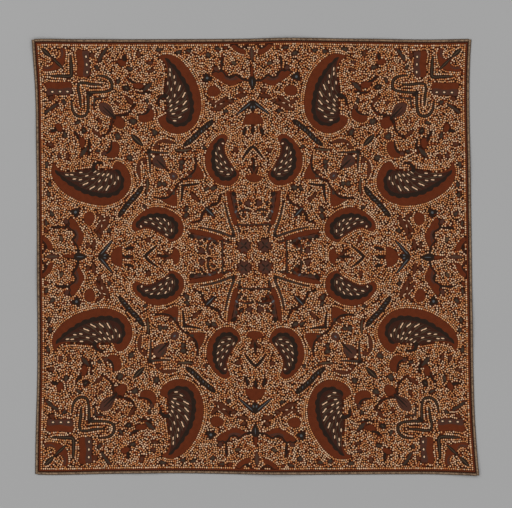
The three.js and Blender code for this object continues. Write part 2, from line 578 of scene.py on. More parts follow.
# A leaf's details, in chart squares
LOBE_DEPTH = 0.8
RIM_WIDTH = 1.4
RIB_OFFSET = 0.85  # from a seed to the rib on each side of it
RIB_WIDTHS = (0.15, 0.55, 0.15)
RIB_BEND = 0.1  # of a rib's length
RIB_STEP = 2.6
SEED_SHAPE = 0.3  # of a seed's length, how wide it is


def leaf(chart, halo, outer, inner, lobes, seeds, rib, seed):
    """A curled leaf in its rust halo: a ribbed body with a dark lobed rim, and pale seeds between its ribs.

    outer and inner are its body's edges, both from the tip. seeds are rows of u, v and turn, and rib and
    seed are how long a rib and a seed are.
    """
    chart.patch("rust", halo, rows=2)
    edge, straight = curve(outer, step=0.8), curve(inner)[::-1]
    outward = 1 if loop_area(np.vstack([edge, straight])) > 0 else -1
    run = run_along(edge)
    along = run / run[-1]
    lobed = beside(edge, outward * LOBE_DEPTH * np.abs(np.sin(math.pi * lobes * along)) ** 0.7)
    chart.add(np.vstack([lobed, straight]), "night")
    rim = beside(edge, -outward * RIM_WIDTH * np.sin(math.pi * np.clip(along, 0, 0.9)) ** 0.5)
    body = chart.add(np.vstack([rim[1::2], straight[:-1]]), "bark")
    for u, v, turn in seeds:
        c, s = math.cos(math.radians(turn)), math.sin(math.radians(turn))
        for side, dye in ((-RIB_OFFSET, "ash"), (RIB_OFFSET, "smoke")):
            middle_u, middle_v = u - s * side, v + c * side
            bend = RIB_BEND * rib
            path = [(middle_u - c * rib / 2 + s * bend, middle_v - s * rib / 2 - c * bend),
                    (middle_u, middle_v),
                    (middle_u + c * rib / 2 + s * bend, middle_v + s * rib / 2 - c * bend)]
            chart.add(ribbon(path, RIB_WIDTHS, RIB_STEP), dye, within=body)
    for u, v, turn in seeds:
        chart.spot("cream", (u, v), (seed, SEED_SHAPE * seed), turn, within=body)


def large_leaf(chart):
    """The large leaf, with a hook on its inner edge."""
    halo = [(43, 91.6), (40.2, 92.8), (37.4, 92.8), (34.4, 91.6), (31.4, 89.2), (28.7, 85.8), (26.5, 81.9),
            (24.9, 77.8), (24, 73.5), (23.8, 69), (24.6, 65), (26.5, 61.2), (29.5, 58.3), (33, 56.7),
            (36.6, 56.7), (40, 58.1), (42.8, 60.6), (43.6, 63.2), (41.9, 64.4), (39.8, 65.2),
            (39.5, 70), (39.6, 76), (39.1, 80), (38.7, 84.6), (39.8, 89.1), (41, 90.6)]
    outer = [(39.9, 91.4), (37.3, 89.4), (34.6, 86.5), (32.2, 82.9), (30.2, 79.6), (28.8, 76), (28, 72),
             (27.7, 68.4), (28.2, 65), (29.8, 62), (32.4, 60.5), (35.6, 60.3), (38.4, 61.7), (40.2, 63.4)]
    inner = [(39.9, 91.4), (38.8, 88.2), (38.6, 84), (39.5, 79.8), (40, 76), (39.6, 72), (39.5, 68),
             (39.7, 65), (40.2, 63.4)]
    seeds = [(37.5, 86, 85), (37.6, 83.8, 85), (35.6, 82.6, 96), (35.3, 79.8, 100), (38.7, 79.6, 95),
             (37.1, 76.8, 105), (33.1, 78, 118), (33.6, 76.7, 118), (31.2, 74.8, 125), (31.9, 73.6, 125),
             (35.7, 73.9, 105), (38.9, 73.1, 120), (37.9, 71.4, 122), (34.7, 70.9, 138), (31, 71, 140),
             (31.8, 70, 138), (37.6, 69.2, 135), (35.3, 67.9, 150), (31, 67.6, 152), (32.2, 66.9, 152),
             (37.6, 67.1, 140), (36.7, 65.5, 172), (33.8, 64, 155), (36.2, 62.4, 184)]
    leaf(chart, halo, outer, inner, 12, seeds, 4.2, 1.8)
    chart.line("night", [(39.6, 73.6), (41.6, 73.4), (43, 71.9), (43.1, 69.4)], (2.2, 1.2, 0.8, 0.3))


def small_leaf(chart):
    """The small leaf, beside the middle line."""
    halo = [(11.6, 54.7), (13.6, 56), (16, 55.2), (18.6, 53), (20.8, 50), (22.2, 46.5), (22.3, 43),
            (21.4, 39.5), (19.5, 36.3), (17, 33.9), (14, 32.7), (11, 32.7), (8.6, 34), (7, 36.4), (6.6, 38.8),
            (8.2, 39.8), (10.4, 43), (12.4, 46.5), (13, 50), (12.3, 52.6)]
    outer = [(13.4, 54), (16, 52.8), (17.9, 50.3), (18.9, 47), (19.1, 43.8), (18.6, 40.6), (17.3, 37.9),
             (15.4, 36), (12.8, 35.2), (10.4, 35.8), (8.7, 37.2), (8, 39.2)]
    inner = [(13.4, 54), (12.5, 52.3), (13.4, 50.2), (12.9, 47.3), (11.4, 44.3), (9.6, 41.2), (8, 39.2)]
    seeds = [(15.6, 49.6, 75), (17.2, 47.4, 70), (14.9, 46.2, 60), (17.1, 44.2, 50), (15, 42.7, 52),
             (16.6, 41, 35), (13, 43.4, 55), (12.4, 40.6, 30), (14.8, 39.2, 10), (11.7, 37.8, 0),
             (9.8, 40, 60)]
    leaf(chart, halo, outer, inner, 9, seeds, 3.6, 1.7)
    chart.spot("cream", (13.7, 51.8), (1.1, 0.7), 20)


def corner_square(chart):
    """The corner: a winged leaf on the diagonal, a dark angle round it and a rust bar on each side."""
    chart.patch("rust", [(90.3, 90.3), (90.7, 88.6), (91.6, 87.4), (93.2, 86.8), (95.4, 87.4), (95.6, 85.3),
                         (92.8, 85), (90.2, 85.5), (88.3, 86.1), (87, 87)], "diagonal", rows=1)
    chart.line("plum", [(90.8, 87.6), (92.8, 86.3), (95, 86.6)], (0.2, 0.8, 1.1))
    chart.line("night", [(95.4, 95.4), (91.4, 91.4)], (0.6, 2.3, 1.6, 0.3), "diagonal", rows=1, core="ash")
    chart.line("night", [(91, 91), (86.4, 86.4)], (0.5, 1.5, 1.7, 0.6), "diagonal", core="ash")
    chart.line("night", [(82.7, 92.4), (82.7, 87), (83, 83)], (0.6, 1.2, 1.4, 1.5, 1.4, 1.2, 0.6),
               "diagonal", rows=1, core="ash")
    chart.patch("rust", [(79.6, 94.8), (79.6, 88.8), (79.7, 83), (77.2, 82.8), (76.6, 86.8), (76.9, 90.8),
                         (76.7, 94.4), (78.2, 95.2)], rows=1)
    chart.patch("plum", [(76.9, 94.5), (76.7, 88.8), (77.2, 82.9), (75, 83.1), (74.3, 86.8), (74.5, 91.3),
                         (74.1, 94.2)])
    for v in (92, 88.4, 84.9):
        chart.spot("smoke", (75.6, v), (2.1, 1.6), 90)
        chart.spot("cream", (75.6, v), (1.1, 0.7), 90)


def hairpin(chart):
    """The double angle inside the corner square, and the flower, stalk and rust heart on the diagonal."""
    chart.line("night", [(71.3, 83.4), (67.8, 83), (65.4, 81.7), (64.5, 79.4), (65.2, 77), (67.6, 76),
                         (70.9, 75.7), (75.5, 75.5, 1)],
               (0.5, 0.9, 1.1, 1, 0.9, 1, 1.3, 1, 0.9, 1, 1.1, 0.9, 0.5), "diagonal", rows=1, core="ash")
    chart.spot("night", (74.9, 74.9), (2.4, 1.6), 45, "diagonal")
    chart.line("night", [(69.2, 79.2), (73.9, 79.4), (77.4, 79.9), (79.4, 79.4)],
               (0.5, 1, 1, 0.8, 1, 1, 0.5), "diagonal", rows=1, core="ash")
    chart.line("smoke", [(68.2, 73.3), (71.2, 72.9), (72.8, 72.8)], (0.3, 0.6, 0.6, 0.3), "diagonal")
    chart.patch("plum", [(70.5, 70.5), (70.6, 67.7), (68.8, 65.5), (66.2, 64.4), (63.4, 63.4)], "diagonal",
                rows=1)
    chart.line("night", [(69, 69), (63.4, 63.4)], (0.3, 0.7, 0.9, 1.1), "diagonal")
    chart.line("night", [(69.2, 67.3), (67, 65.4), (64.4, 64)], (0.2, 0.4, 0.2))
    chart.patch("rust", [(63, 63), (64, 60.9), (62.6, 59.5), (60.6, 58.8), (59.4, 59.4)], "diagonal", rows=1)
    chart.line("night", [(63.4, 64.4), (61, 65), (59, 65.3), (57.4, 66.2), (55.8, 68), (54.6, 70.2)],
               (0.4, 0.45, 0.3))
    chart.line("night", [(55.8, 55.8), (51, 51)], (0.5, 2.3, 2.2, 0.5), "diagonal", rows=1, core="ash")


def beside_hairpin(chart):
    """The sprigs between the corner and the large leaf."""
    chart.patch("rust", [(52.6, 64.8), (50, 65.2), (48.2, 66.2), (46.8, 68), (45.6, 66.6), (45.7, 63.8),
                         (47.5, 62.2), (50.3, 61.6), (52.4, 62.6)], rows=1)
    chart.line("night", [(53, 65), (50, 65.3), (48.2, 66.4), (46.8, 68.6)], (0.3, 0.6, 1, 0.6))
    chart.patch("rust", [(54.2, 80), (51.5, 79.7), (49.7, 78.7), (50.6, 77.6), (53, 77.4), (54.5, 78.5)])
    chart.line("night", [(57.4, 82.3), (55.2, 80.7), (53, 79.8)], (0.4, 1, 0.3))
    chart.line("umber", [(58.2, 73.8), (56.6, 71.8), (55.4, 70)], (0.3, 1.5, 0.3))
    chart.line("night", [(53.5, 75.6), (50.5, 75), (47.2, 75.7)], (0.3, 0.7, 0.4))
    chart.line("smoke", [(49.8, 76.4), (48, 78), (46.2, 79.6)], (0.8, 1.9, 0.6))
    chart.spot("cream", (48.8, 74.7), (1.1, 0.8))
    chart.line("night", [(57.6, 93), (58.4, 89.8)], (0.4, 1.6, 0.4))
    chart.patch("rust", [(61.4, 89.8), (59.4, 90.6), (57.2, 88.6), (58.2, 87.8), (60.4, 88.4)])
    chart.line("smoke", [(66, 95.6), (68, 93.2), (70.2, 89.8)], (0.5, 1.3, 0.8, 1.4, 0.4))


def star(chart):
    """The middle: eight rust bars round panels, the strips between them, a bird in each and a flower."""
    chart.line("rust", [(11.8, 29.6), (11, 25), (9.9, 20), (8.4, 15.2)], (1.3, 2, 2, 1.9), rows=1)
    chart.line("plum", [(9.4, 28.2), (9, 24.4), (8.4, 21), (7.5, 18)], (1.6, 0.9, 1.3, 0.7))
    chart.spot("night", (9.2, 28.7), (2.3, 1.8), 60)
    chart.spot("smoke", (8.6, 25.6), (2, 1.5), 95)
    chart.spot("night", (8.2, 22.9), (1.7, 1.2), 120)
    chart.spot("slate", (8.3, 20.7), (1.7, 0.9), 130)
    chart.spot("smoke", (7.2, 18.4), (1.9, 1.2), 70)
    chart.line("smoke", [(0, 14.7), (4, 14.6), (7.6, 14.8)], (0.3, 0.45, 0.5))
    chart.line("smoke", [(0.8, 20.8), (3.6, 21.6), (6.4, 20.9)], (0.3, 0.6, 0.3))
    chart.line("smoke", [(7.2, 13.8), (6.7, 11)], (0.4, 0.6, 0.3))
    chart.flower("plum", (2.5, 24.4), 2.4, petals=3)
    chart.spot("smoke", (6.1, 24.9), (1.7, 1.0), 50)
    chart.spot("smoke", (4.4, 19.4), (1.6, 1.0), 140)
    chart.spot("smoke", (6.2, 17.2), (1.5, 0.8), 120)
    chart.line("smoke", [(24.6, 13.6), (19, 12.2), (14.5, 10.8), (10.6, 9.4), (9.4, 9.4, 1)],
               (0.3, 0.6, 0.7, 0.8, 0.8, 0.7, 0.6, 0.3), "diagonal", rows=1)
    chart.spot("night", (9.7, 9.7), (1.9, 1.3), 135, "diagonal")
    chart.line("night", [(15.6, 28.2), (16.6, 24.9), (19.6, 23.4), (21.8, 21.8)],
               (0.3, 0.45, 0.5, 0.6, 0.5, 0.45, 0.3), "diagonal")
    chart.line("night", [(22.2, 22.2), (18.3, 18.3)], (0.5, 2.3, 1.6, 0.3), "diagonal", core="slate")
    middle = 4.9
    chart.add(oval((middle, middle), (5.7, 5.7), 22.5, 32, 8, 0.2), "plum", "diagonal")
    for turn in (45, 125, 225, 325):
        u, v = middle + 1.2 * math.cos(math.radians(turn)), middle + 1.2 * math.sin(math.radians(turn))
        chart.spot("night" if turn % 100 == 25 else "smoke", (u, v), (2.2, 0.8), turn, "diagonal")


def middle_sprigs(chart):
    """What lies between the star and the leaves."""
    chart.line("night", [(18.8, 62), (22, 59.6), (25.6, 56.6), (28.2, 53.8), (31.6, 51.2)],
               (1.4, 2.3, 1.9, 2.4, 1.9, 2.4, 1.9, 2.3, 1.3), rows=1)
    beads = 9
    for step in range(beads):
        share = (step + 0.5) / beads
        u, v = 19.5 + 11.2 * share, 61.3 - 9.6 * share + 0.2 * math.sin(math.pi * share)
        chart.spot("slate" if step % 2 else "ash", (u, v), (1.1, 0.5), 100)
    chart.line("umber", [(45.4, 50.8), (43.4, 52.8), (40, 53), (36.4, 52.3)], (0.3, 0.8, 1.8, 0.6), rows=1)
    chart.line("smoke", [(39, 47.7), (43, 47.8), (48.2, 48.2, 1)], (0.3, 0.6, 0.8, 1.2, 0.8, 0.6, 0.3),
               "diagonal", rows=1)
    chart.spot("night", (48.2, 48.2), (2.2, 1.6), 135, "diagonal")
    chart.spot("cream", (46.1, 46.1), (1.3, 1.2), 0, "diagonal")
    chart.line("ash", [(35.3, 48.9), (32, 48.7), (28.8, 49.3)], (0.4, 1, 0.4))
    chart.patch("plum", [(45.9, 45.9), (46.6, 43.4), (45, 41.4), (42.8, 40.6), (40.8, 40.8)], "diagonal",
                rows=1)
    chart.line("night", [(44.6, 44.6), (39.8, 39.8)], (0.3, 0.9, 0.8, 0.3), "diagonal")
    chart.line("smoke", [(45.8, 43), (43.4, 41.6)], (0.4, 0.8, 0.2))
    chart.patch("plum", [(38.3, 38.3), (38.6, 36.6), (37.2, 35.2), (35.4, 35.4)], "diagonal", rows=1)
    chart.spot("slate", (36.9, 36.9), (1.4, 0.8), 45, "diagonal")
    chart.patch("rust", [(27.4, 45.4), (26, 42.6), (24.1, 39.3), (23.2, 35.9), (27, 35.3), (31.4, 36.2),
                         (29.2, 37.5), (27.5, 39.1), (26.7, 41.8)], rows=1)
    chart.line("night", [(26.9, 45.4), (26.5, 42.4), (27.2, 39.2), (29.6, 36.8), (33.7, 34.3)],
               (0.5, 0.7, 0.7, 0.6, 0.3))
    chart.line("night", [(25.2, 33.2), (29, 32.6), (32.4, 32.4, 1)], (0.3, 0.7, 0.9, 1, 0.9, 0.7, 0.3),
               "diagonal", rows=1)
    chart.line("umber", [(28.8, 28.8), (25.2, 25.2)], (0.3, 1.5, 0.3), "diagonal")


def upper_sprigs(chart):
    """Between the two large leaves of one side: a cloud with wings, brown leaves and flowers."""
    ridge = [(17.8, 84.4), (16.5, 85.1), (15.2, 84.6), (13.8, 85.2), (12.7, 84.2), (11.7, 82.6),
             (10.1, 81.8), (8.6, 82.3), (7.6, 83.1), (6.4, 82.4), (4.9, 81.2), (2.6, 80.8)]
    chart.patch("rust", [*ridge, (4.8, 80.4), (6.1, 79.9), (7.4, 79), (9.1, 78.5), (10.8, 78.8), (12.2, 79.7),
                         (14.4, 80.9), (16.2, 82), (17.4, 83.1)], rows=1)
    chart.patch("plum", [(12.9, 82.8), (11.6, 82.2), (10.1, 81.5), (8.4, 82.1), (6, 81.8), (7.8, 81),
                         (10.4, 80.8), (12.2, 81.6)])
    raised = [(u, round(v + 0.1, 1)) for u, v in ridge]
    chart.line("night", [*raised, (0, 80.7)], (0.4, 0.6, 0.7, 0.6, 0.7))
    chart.line("night", [(13.9, 85), (13.5, 87), (13.7, 89.2), (13.2, 91.6)], (0.6, 0.4, 0.6, 1.1, 0.3))
    chart.spot("plum", (16.3, 86.3), (2.4, 1.8), 30)
    chart.spot("ash", (8.2, 88.6), (2.4, 1.4), 20)
    chart.patch("rust", [(9.3, 96.6), (7.3, 97.2), (6.1, 96.1), (4.9, 95.3), (3.1, 94.4), (2.8, 92.7),
                         (4.6, 92.8), (6.4, 93.6), (7.8, 94.7)], rows=1)
    chart.line("night", [(7.5, 97.2), (6, 95.9), (4.7, 95.3), (3.4, 96), (2.2, 97.2)], (0.3, 0.5, 0.3))
    chart.flower("night", (20.5, 82), 3.5, "slate", 3, 75)
    chart.patch("rust", [(20.5, 75.8), (19.8, 77.6), (17.6, 78.2), (15.4, 77.4), (14.6, 75.6), (16, 74.2),
                         (18, 73.6), (20, 74.2)], rows=1)
    chart.line("umber", [(18.6, 67.2), (15.6, 68.2), (13, 70), (10.6, 70.4)], (0.5, 1.9, 1.9, 0.5))
    chart.line("umber", [(20, 72.4), (17.4, 70.2), (14, 71.6), (11.6, 73.4)], (0.4, 1.6, 1.4, 0.4))
    for u, v, turn in ((16.5, 71.2, 140), (15.2, 72.2, 140), (14.3, 70.2, 170), (16.9, 69.1, 110)):
        chart.spot("cream", (u, v), (1.4, 0.4), turn)


def middle_line(chart):
    """On the middle line itself, from the border in to the star."""
    chart.line("plum", [(0, 95.6), (0, 89.8)], (0.4, 2.1, 1.9, 0.4), "axis", rows=1, core="ash")
    chart.line("rust", [(0, 87), (0, 82.4)], (0.5, 1.2, 1.2), "axis")
    chart.patch("night", [(0, 82.9), (1.5, 81.8), (1.7, 80.4), (1.1, 78.6), (0, 76.8)], "axis", rows=1)
    chart.line("slate", [(0, 81.4), (0, 78.4)], (0.15, 0.4, 0.15), "axis")
    chart.line("night", [(7.5, 65.1), (3.6, 68.3), (0, 70.6)], (0.4, 1.1, 1.6, 2, 1.6, 1.1, 0.4), "axis",
               rows=1, core="slate")
    chart.patch("night", [(0, 71.3), (1.5, 69.8), (1.2, 67.8), (0, 66.6)], "axis")
    chart.spot("slate", (0.7, 68.6), (1.3, 0.7), 110)
    chart.patch("rust", [(0, 65.9), (2.2, 65.2), (4.2, 62.9), (4.7, 60.9, 1), (2.4, 60.8), (0, 60.6)], "axis",
                rows=1)
    chart.line("night", [(0, 59.8), (0, 56.4)], (0.4, 1.6, 0.3), "axis")
    chart.line("night", [(3.6, 59), (4.4, 55.9)], (0.5, 1.5, 0.5))
    chart.line("night", [(4.9, 44.6), (2.4, 48.1), (0, 50.2)], (0.3, 0.9, 1, 0.9, 0.3), "axis", rows=1)
    chart.line("night", [(0, 45), (0, 37.8)], (0.2, 0.7, 1, 0.8), "axis")
    chart.line("umber", [(2.2, 41.6), (1, 40.2), (0, 37.9)], (0.3, 0.8, 0.5))
    chart.patch("rust", [(0, 38.4), (1.6, 37.3), (3.5, 36.8), (2.7, 35), (0, 34.3)], "axis", rows=1)
    chart.line("umber", [(7.7, 73.3), (5.4, 73.8), (3.1, 74)], (0.4, 1.8, 0.4))


Blot = namedtuple("Blot", "dye u v long wide turn")

# Small blots of dye that the dots leave open, in chart squares and degrees. The long ones have a heart.
BLOT_POINTS = 9
BLOT_CORNERS = 3
BLOT_DEPTH = 0.14
LONG_BLOT = 2.3
BLOTS = [Blot(*row) for row in (
    ("smoke", 42.4, 95, 2.8, 1.6, 170), ("smoke", 33.2, 93.9, 2.2, 1.6, 0),
    ("smoke", 28.6, 94.4, 2.4, 1.4, 20), ("umber", 51.6, 93.2, 2.8, 1.5, 80),
    ("smoke", 55.8, 86.6, 3, 1.4, 10), ("plum", 46.5, 89.1, 2.2, 1.3, 0),
    ("umber", 46, 85.6, 2.8, 1.1, 170), ("smoke", 19.8, 92.8, 2.4, 1.8, 35),
    ("smoke", 15.5, 95.5, 2.5, 1.2, 10), ("night", 57.9, 77.8, 3, 2.2, 20),
    ("smoke", 61.6, 80.8, 2.6, 1.2, 120), ("plum", 47.3, 68.6, 1.6, 2, 0),
    ("smoke", 55.2, 62.1, 3, 2.4, 30), ("smoke", 45.4, 57, 2.8, 2.2, 60),
    ("smoke", 33.1, 43.4, 2.4, 2, 10), ("umber", 29.6, 38.6, 2, 1.3, 30),
    ("smoke", 18.7, 31.3, 2.8, 1.8, 150), ("umber", 7.8, 48.8, 2.2, 1.7, 20),
    ("smoke", 12.2, 66.7, 1.9, 1.6, 0), ("umber", 5.2, 76.4, 2.4, 1.5, 30),
    ("smoke", 31, 21.6, 2.6, 1.3, 130), ("rust", 11.9, 95.7, 1.8, 1.3, 0),
    ("umber", 72.8, 92.6, 1.8, 2.2, 0), ("smoke", 41.2, 33.2, 2.4, 1.6, 20),
    ("umber", 50.4, 44.4, 1.6, 2.2, 0), ("umber", 62.3, 70.6, 2, 1.2, 40),
    ("smoke", 48.4, 71.4, 1.3, 2, 0), ("smoke", 71, 87, 2.2, 1.4, 60),
    ("umber", 9.9, 71.4, 2.6, 1.4, 20), ("smoke", 22.6, 50.2, 1.8, 1.2, 60),
    ("smoke", 36.6, 29, 2, 1.2, 100),
)]


def blots(chart):
    for blot in BLOTS:
        place = (blot.u, blot.v)
        size = (blot.long, blot.wide)
        chart.add(oval(place, size, blot.turn, BLOT_POINTS, BLOT_CORNERS, BLOT_DEPTH), blot.dye)
        if blot.long > LONG_BLOT:
            chart.spot("ash", place, (0.45 * blot.long, 0.3 * blot.wide), blot.turn + 30)


def draw_chart():
    """The shapes of one eighth of the pattern, from the one drawn first to the one on top."""
    chart = Chart()
    for draw in (corner_square, hairpin, beside_hairpin, large_leaf, small_leaf, star, middle_sprigs,
                 upper_sprigs, middle_line, blots):
        draw(chart)
    return chart.shapes


def mirrored(outline, copies):
    """The outline's copies over the whole cloth."""
    u, v = outline.T
    if copies == "axis":
        images = [(u, v), (u, -v), (v, u), (-v, u)]
    else:
        turned = [(u, v)] if copies == "diagonal" else [(u, v), (v, u)]
        signs = [(1, 1), (-1, 1), (1, -1), (-1, -1)]
        images = [(a * across, b * along) for a, b in turned for across, along in signs]
    return [np.stack(image, 1) for image in images]


# The wax dots


def clearance(shapes):
    """How far each cell of a fine grid over the chart is outside the nearest motif, in squares."""
    count = 2 * CHART * CELLS + 1
    field = np.full((count, count), FAR)
    for shape in shapes:
        outline = shape.outline
        low = np.maximum(np.floor((outline.min(0) - FAR / 2 + CHART) * CELLS).astype(int), 0)
        high = np.minimum(np.ceil((outline.max(0) + FAR / 2 + CHART) * CELLS).astype(int) + 1, count)
        u = (np.arange(low[0], high[0]) / CELLS - CHART)[:, None]
        v = (np.arange(low[1], high[1]) / CELLS - CHART)[None, :]
        away = np.full((high[0] - low[0], high[1] - low[1]), FAR)
        inside = np.zeros(away.shape, bool)
        for a, b in zip(outline, np.roll(outline, -1, axis=0)):
            way = b - a
            share = ((u - a[0]) * way[0] + (v - a[1]) * way[1]) / max(way @ way, 1e-12)
            share = np.clip(share, 0, 1)
            away = np.minimum(away, np.hypot(u - a[0] - share * way[0], v - a[1] - share * way[1]))
            if a[1] != b[1]:
                crosses = (a[1] > v) != (b[1] > v)
                inside ^= crosses & (u < a[0] + (v - a[1]) / way[1] * way[0])
        away[inside] *= -1
        view = field[low[0]:high[0], low[1]:high[1]]
        np.minimum(view, away, out=view)
    field = np.minimum(field, field.T)
    field = np.minimum(field, field[::-1])
    return np.minimum(field, field[:, ::-1])


class Dots:
    """Places for the wax dots, no two closer than a least distance, in chart squares.

    A dot stays within reach of the middle and a margin outside the motifs. A grid whose cells hold one dot
    each finds its neighbours.
    """

    SPARE = 3  # cells beyond the chart, on each side
    TRIES = 11  # places tried beside each dot
    ROW_PITCH = 1.03  # of the least distance, from one dot of a row to the next
    ROW_LEAST = 0.93  # of the least distance, how close a row's dots may come to others
    NEAREST = 1.001  # of the least distance, from a dot to the places tried beside it
    SPREAD = 0.1  # of the least distance, how much further away they may be

    def __init__(self, field, reach, least, margin):
        self.field = field
        self.reach = reach
        self.least = least
        self.margin = margin
        self.size = least / math.sqrt(2)
        self.across = int(2 * CHART / self.size) + 2 * self.SPARE
        self.cells = [None] * (self.across * self.across)
        self.places = []

    def cell(self, u, v):
        return int((u + CHART) / self.size) + self.SPARE, int((v + CHART) / self.size) + self.SPARE

    def add(self, u, v, least):
        """Adds a dot if it is clear of the motifs, the border and the other dots."""
        if abs(u) > self.reach or abs(v) > self.reach:
            return False
        if self.field[round((u + CHART) * CELLS)][round((v + CHART) * CELLS)] < self.margin:
            return False
        i, j = self.cell(u, v)
        for column in range(i - 2, i + 3):
            start = column * self.across + j
            for other in self.cells[start - 2:start + 3]:
                if other and (other[0] - u) ** 2 + (other[1] - v) ** 2 < least * least:
                    return False
        self.cells[i * self.across + j] = (u, v)
        self.places.append((u, v))
        return True

    def follow(self, outline, away):
        """A row of dots a distance outside an outline."""
        way = np.roll(outline, -1, axis=0) - np.roll(outline, 1, axis=0)
        way /= np.maximum(np.hypot(*way.T), 1e-9)[:, None] * (1 if loop_area(outline) > 0 else -1)
        row = outline + np.stack([way[:, 1], -way[:, 0]], 1) * away
        row = np.vstack([row, row[:1]])
        run = run_along(row)
        count = max(1, int(run[-1] / (self.ROW_PITCH * self.least)))
        stops = np.arange(count) * run[-1] / count
        for u, v in zip(np.interp(stops, run, row[:, 0]), np.interp(stops, run, row[:, 1])):
            self.add(float(u), float(v), self.ROW_LEAST * self.least)

    def fill(self, toss):
        """Adds dots beside those already there, until no more fit."""
        waiting = list(range(len(self.places)))
        while waiting:
            pick = toss.randrange(len(waiting))
            u, v = self.places[waiting[pick]]
            start = toss.random() * math.tau
            for k in range(self.TRIES):
                angle = start + k * math.tau / self.TRIES
                away = self.least * (self.NEAREST + self.SPREAD * toss.random())
                if self.add(u + away * math.cos(angle), v + away * math.sin(angle), self.least):
                    waiting.append(len(self.places) - 1)
                    break
            else:
                waiting[pick] = waiting[-1]
                waiting.pop()


LEAST_GAP = 0.96  # of the dots' pitch, from one dot to the next
MOTIF_MARGIN = 0.52  # squares, from a motif to the middle of a dot
FIRST_ROW = 0.58  # squares, from a motif to its first row of dots
ROW_GAP = 1.02  # of the dots' pitch, from the first row to the second


def lay_dots(shapes, reach, pitch, toss):
    """Rows of dots along the motifs that ask for them and along the border, and then all the rest."""
    field = clearance(shapes).tolist()
    dots = Dots(field, reach, LEAST_GAP * pitch, MOTIF_MARGIN)
    frame_line = np.array([(reach, reach), (-reach, reach), (-reach, -reach), (reach, -reach)], float)
    dots.follow(frame_line, 0)
    for row in range(2):
        for shape in shapes:
            if shape.rows > row:
                for outline in mirrored(shape.outline, shape.copies):
                    dots.follow(outline, FIRST_ROW + row * ROW_GAP * pitch)
    dots.fill(toss)
    return dots.places


# Meshes


def new_piece(name, points, faces, material):
    mesh = bpy.data.meshes.new(name)
    mesh.from_pydata(points, [], faces)
    mesh.polygons.foreach_set("use_smooth", np.ones(len(mesh.polygons), bool))
    mesh.materials.append(material)
    piece = bpy.data.objects.new(name, mesh)
    bpy.context.scene.collection.objects.link(piece)
    return piece


def store(mesh, name, kind, domain, values):
    """Keeps values on the mesh's points, faces or corners, where a shader reads them."""
    field = {"FLOAT": "value", "FLOAT_COLOR": "color", "FLOAT_VECTOR": "vector"}[kind]
    attribute = mesh.attributes.new(name, kind, domain)
    attribute.data.foreach_set(field, np.asarray(values, np.float32).ravel())


BORDER_LINE = 0.6  # squares, how wide the dark line beside the hem is
BORDER_BAND = 0.5  # squares, how wide the rust band inside it is
BORDER_STEP = 2.0  # squares, between the points of a border outline
BORDER_MARGIN = 0.5  # squares, from the border to the middles of its dots
DOT_RANGE = (0.84, 1.12)  # of the dots' width, from the smallest dot to the largest


def border_ring(half, inner):
    """The two outlines of a square band, from half squares out in to inner."""
    count = round(2 * half / BORDER_STEP)
    stops = np.linspace(-1, 1, count + 1)[:-1]
    ones = np.ones(count)
    ring = np.concatenate([
        np.stack([stops, -ones], 1), np.stack([ones, stops], 1),
        np.stack([-stops, ones], 1), np.stack([-ones, -stops], 1),
    ])
    return ring * half, ring * inner


def pattern_mesh(sizes, colours, lay):
    """The flat pattern as triangles: their points, their corners, and each one's dye and three dots."""
    toss = random.Random(SEED)
    shapes = draw_chart()
    half = CHART - lay.inset
    inner = half - BORDER_LINE - BORDER_BAND
    places = lay_dots(shapes, inner - BORDER_MARGIN, sizes.dot_pitch / SQUARE, toss)
    points, edges, areas = list(places), [], []

    def draw(outline, dye, whole=None):
        """Adds an outline to the drawing, and says which area it is, and which one it stays within."""
        start, count = len(points), len(outline)
        points.extend(map(tuple, outline))
        edges.extend((start + k, start + (k + 1) % count) for k in range(count))
        areas.append((outline, dye, whole))
        return len(areas) - 1

    rim, line_inner = border_ring(half, half - BORDER_LINE)
    draw(rim, "border")
    draw(line_inner, "rust")
    draw(border_ring(half, inner)[1], "ground")
    firsts = []
    for shape in shapes:
        firsts.append(len(areas))
        for copy, outline in enumerate(mirrored(shape.outline, shape.copies)):
            draw(outline, shape.dye, None if shape.within is None else firsts[shape.within] + copy)
    made = delaunay_2d_cdt([Vector(point) for point in points], edges, [], 0, 1e-4, True)
    flat, triangles = np.array([tuple(point) for point in made[0]]), np.array(made[2])
    reach = 0.5 * sizes.dot_width / SQUARE
    dot_of = np.zeros((len(flat), 3))
    dot_of[:, 2] = NO_DOT
    for place, sources in zip(dot_of, made[3]):
        if sources and min(sources) < len(places):
            place[:] = (*places[min(sources)], reach * toss.uniform(*DOT_RANGE))
    dyes = sorted({area[1] for area in areas})
    tints = np.array([(*getattr(colours, name), 1) for name in dyes])
    top = top_areas(areas, flat[triangles].mean(1), dyes)
    return flat, triangles, tints[top], top == dyes.index("ground"), dot_of


def inside(outline, places):
    """Which of these places are inside an outline."""
    found = np.zeros(len(places), bool)
    u, v = places.T
    for (a, b), (c, d) in zip(outline, np.roll(outline, -1, axis=0)):
        if b != d:
            found ^= ((b > v) != (d > v)) & (u < a + (v - b) / (d - b) * (c - a))
    return found


def top_areas(areas, places, dyes):
    """The number of the dye that lies on top at each place. Later areas cover earlier ones."""
    top = np.zeros(len(places), int)
    covered = {}
    for number, (outline, dye, whole) in enumerate(areas):
        low, high = outline.min(0), outline.max(0)
        near = np.flatnonzero(((places > low) & (places < high)).all(1))
        near = near[inside(outline, places[near])]
        if whole is not None:
            near = np.intersect1d(near, covered[whole])
        covered[number] = near
        top[near] = dyes.index(dye)
    return top


def wander(chart, reach):
    """The hand drawing's straying from the chart, which dies out towards the border."""
    noise.seed_set(SEED)  # unseeded, noise_vector differs from run to run
    span = 13  # squares, from one stray to the next
    strays = np.array([noise.noise_vector((u / span, v / span, 3.7)) for u, v in chart])[:, :2]
    return chart + strays * reach * inward_share(chart, 2.5, 4)[:, None]


